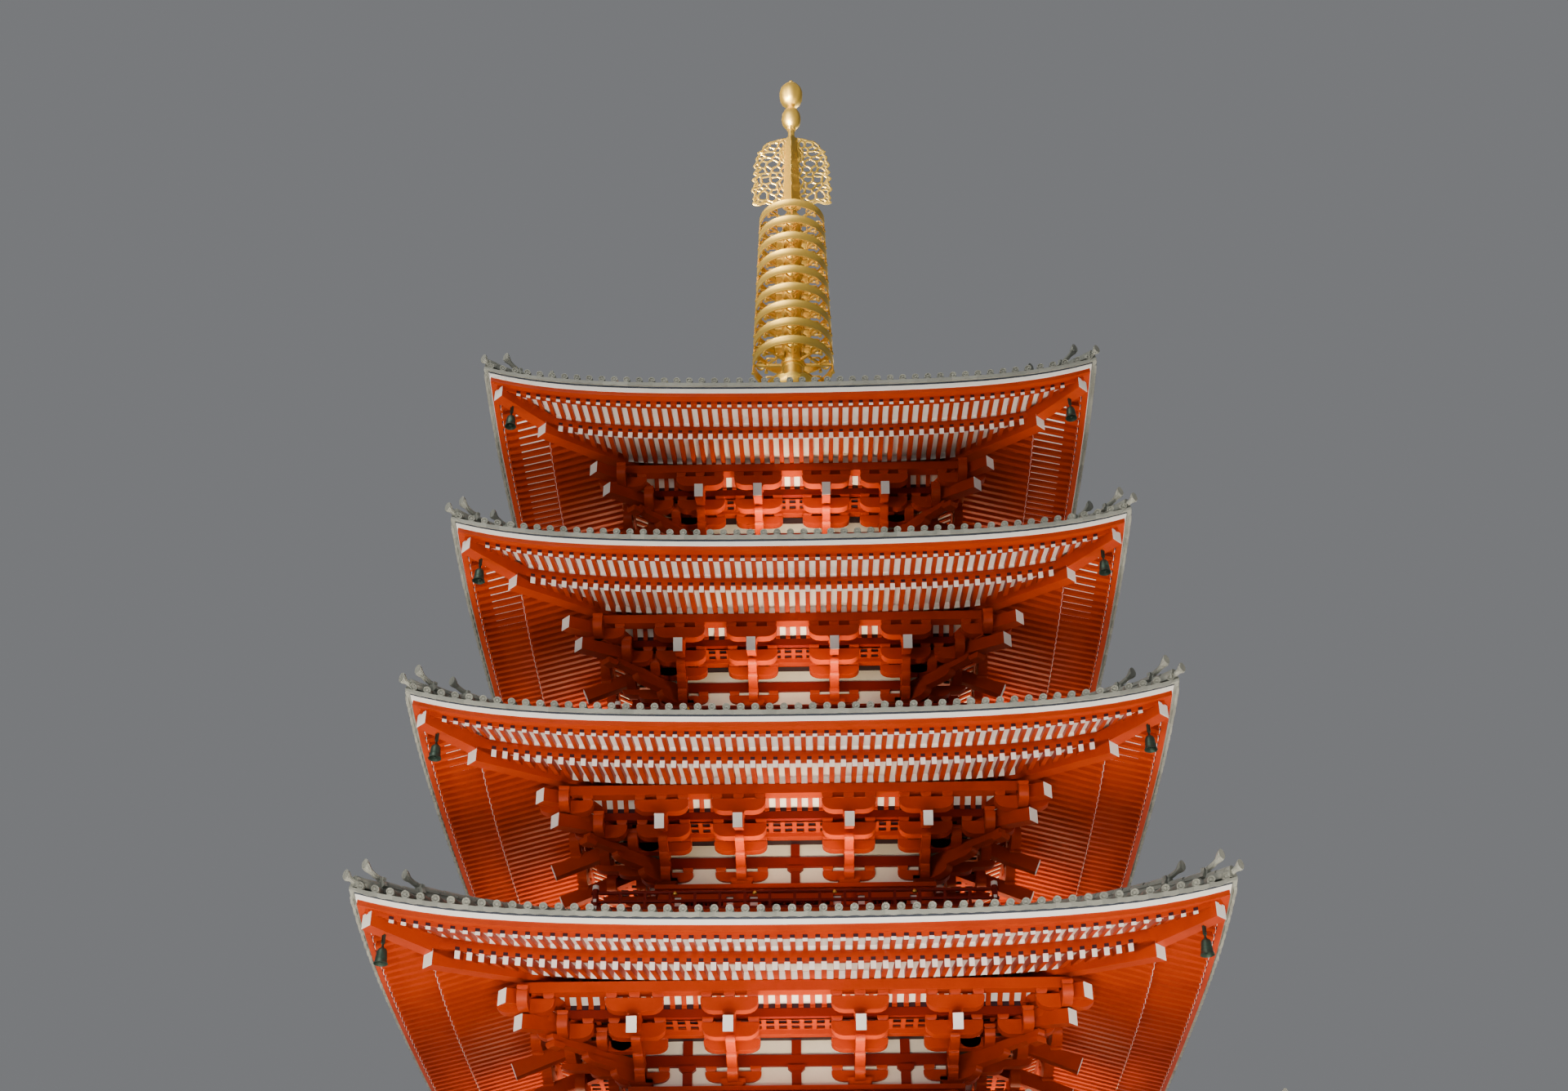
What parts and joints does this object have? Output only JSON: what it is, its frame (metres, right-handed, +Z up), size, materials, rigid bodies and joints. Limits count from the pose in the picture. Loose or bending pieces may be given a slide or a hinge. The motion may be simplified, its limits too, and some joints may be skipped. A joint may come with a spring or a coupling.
{
  "type": "scale model (1:2) of a five-storey pagoda",
  "caption": "Square vermilion tower of stacked storeys with deep tiled eaves, stepped brackets, balconies, corner wind bells and a gilt ring spire, on a stone podium.",
  "frame": {"origin": "centre of the podium's underside, on the tower's axis", "axes": "+Z up along the tower's axis, -Y towards the front, where the steps are, +X to the right seen from the front"},
  "size_m": [10.79, 14.6357, 26.6503],
  "materials": {
    "vermilion_paint": "satin",
    "dark_red_paint": "satin",
    "white_paint": "matte",
    "grey_tile": "matte",
    "dark_bronze": "satin",
    "gilt_bronze": "satin",
    "grey_stone": "matte"
  },
  "bodies": {
    "tower": {"podium": "grey_stone", "front_steps": "grey_stone", "front_door": "dark_red_paint", "right_door": "dark_red_paint", "back_door": "dark_red_paint", "left_door": "dark_red_paint", "storey_1_walls": "vermilion_paint", "storey_1_brackets": "vermilion_paint", "storey_1_eaves": "vermilion_paint", "storey_1_roof": "grey_tile", "storey_1_bell_front_right": "dark_bronze", "storey_1_bell_back_right": "dark_bronze", "storey_1_bell_back_left": "dark_bronze", "storey_1_bell_front_left": "dark_bronze", "storey_2_balcony": "vermilion_paint", "storey_2_walls": "vermilion_paint", "storey_2_brackets": "vermilion_paint", "storey_2_eaves": "vermilion_paint", "storey_2_roof": "grey_tile", "storey_2_bell_back_right": "dark_bronze", "storey_2_bell_back_left": "dark_bronze", "storey_3_balcony": "vermilion_paint", "storey_3_walls": "vermilion_paint", "storey_3_brackets": "vermilion_paint", "storey_3_eaves": "vermilion_paint", "storey_3_roof": "grey_tile", "storey_3_bell_back_right": "dark_bronze", "storey_3_bell_back_left": "dark_bronze", "storey_4_balcony": "vermilion_paint", "storey_4_walls": "vermilion_paint", "storey_4_brackets": "vermilion_paint", "storey_4_eaves": "vermilion_paint", "storey_4_roof": "grey_tile", "storey_4_bell_back_right": "dark_bronze", "storey_4_bell_back_left": "dark_bronze", "storey_5_balcony": "vermilion_paint", "storey_5_walls": "vermilion_paint", "storey_5_brackets": "vermilion_paint", "storey_5_eaves": "vermilion_paint", "storey_5_roof": "grey_tile", "storey_5_bell_back_right": "dark_bronze", "storey_5_bell_back_left": "dark_bronze", "spire_base": "gilt_bronze", "spire_rings": "gilt_bronze", "spire_flames": "gilt_bronze", "spire_jewels": "gilt_bronze"},
    "storey_2_bell_front_left": {"storey_2_bell_front_left": "dark_bronze"},
    "storey_2_bell_front_right": {"storey_2_bell_front_right": "dark_bronze"},
    "storey_3_bell_front_left": {"storey_3_bell_front_left": "dark_bronze"},
    "storey_3_bell_front_right": {"storey_3_bell_front_right": "dark_bronze"},
    "storey_4_bell_front_left": {"storey_4_bell_front_left": "dark_bronze"},
    "storey_4_bell_front_right": {"storey_4_bell_front_right": "dark_bronze"},
    "storey_5_bell_front_left": {"storey_5_bell_front_left": "dark_bronze"},
    "storey_5_bell_front_right": {"storey_5_bell_front_right": "dark_bronze"}
  },
  "joints": [
    {"name": "storey_2_bell_front_left_swing", "type": "hinge", "parent": "tower", "child": "storey_2_bell_front_left", "pos_m": [-4.2835, -4.2835, 8.9245], "axis": [0.7071, -0.7071, 0], "range_deg": [-25, 25]},
    {"name": "storey_2_bell_front_right_swing", "type": "hinge", "parent": "tower", "child": "storey_2_bell_front_right", "pos_m": [4.2835, -4.2835, 8.9245], "axis": [0.7071, 0.7071, 0], "range_deg": [-25, 25]},
    {"name": "storey_3_bell_front_left_swing", "type": "hinge", "parent": "tower", "child": "storey_3_bell_front_left", "pos_m": [-4.017, -4.017, 11.4725], "axis": [0.7071, -0.7071, 0], "range_deg": [-25, 25]},
    {"name": "storey_3_bell_front_right_swing", "type": "hinge", "parent": "tower", "child": "storey_3_bell_front_right", "pos_m": [4.017, -4.017, 11.4725], "axis": [0.7071, 0.7071, 0], "range_deg": [-25, 25]},
    {"name": "storey_4_bell_front_left_swing", "type": "hinge", "parent": "tower", "child": "storey_4_bell_front_left", "pos_m": [-3.7765, -3.7765, 14.0205], "axis": [0.7071, -0.7071, 0], "range_deg": [-25, 25]},
    {"name": "storey_4_bell_front_right_swing", "type": "hinge", "parent": "tower", "child": "storey_4_bell_front_right", "pos_m": [3.7765, -3.7765, 14.0205], "axis": [0.7071, 0.7071, 0], "range_deg": [-25, 25]},
    {"name": "storey_5_bell_front_left_swing", "type": "hinge", "parent": "tower", "child": "storey_5_bell_front_left", "pos_m": [-3.6075, -3.6075, 16.5165], "axis": [0.7071, -0.7071, 0], "range_deg": [-25, 25]},
    {"name": "storey_5_bell_front_right_swing", "type": "hinge", "parent": "tower", "child": "storey_5_bell_front_right", "pos_m": [3.6075, -3.6075, 16.5165], "axis": [0.7071, 0.7071, 0], "range_deg": [-25, 25]}
  ]
}
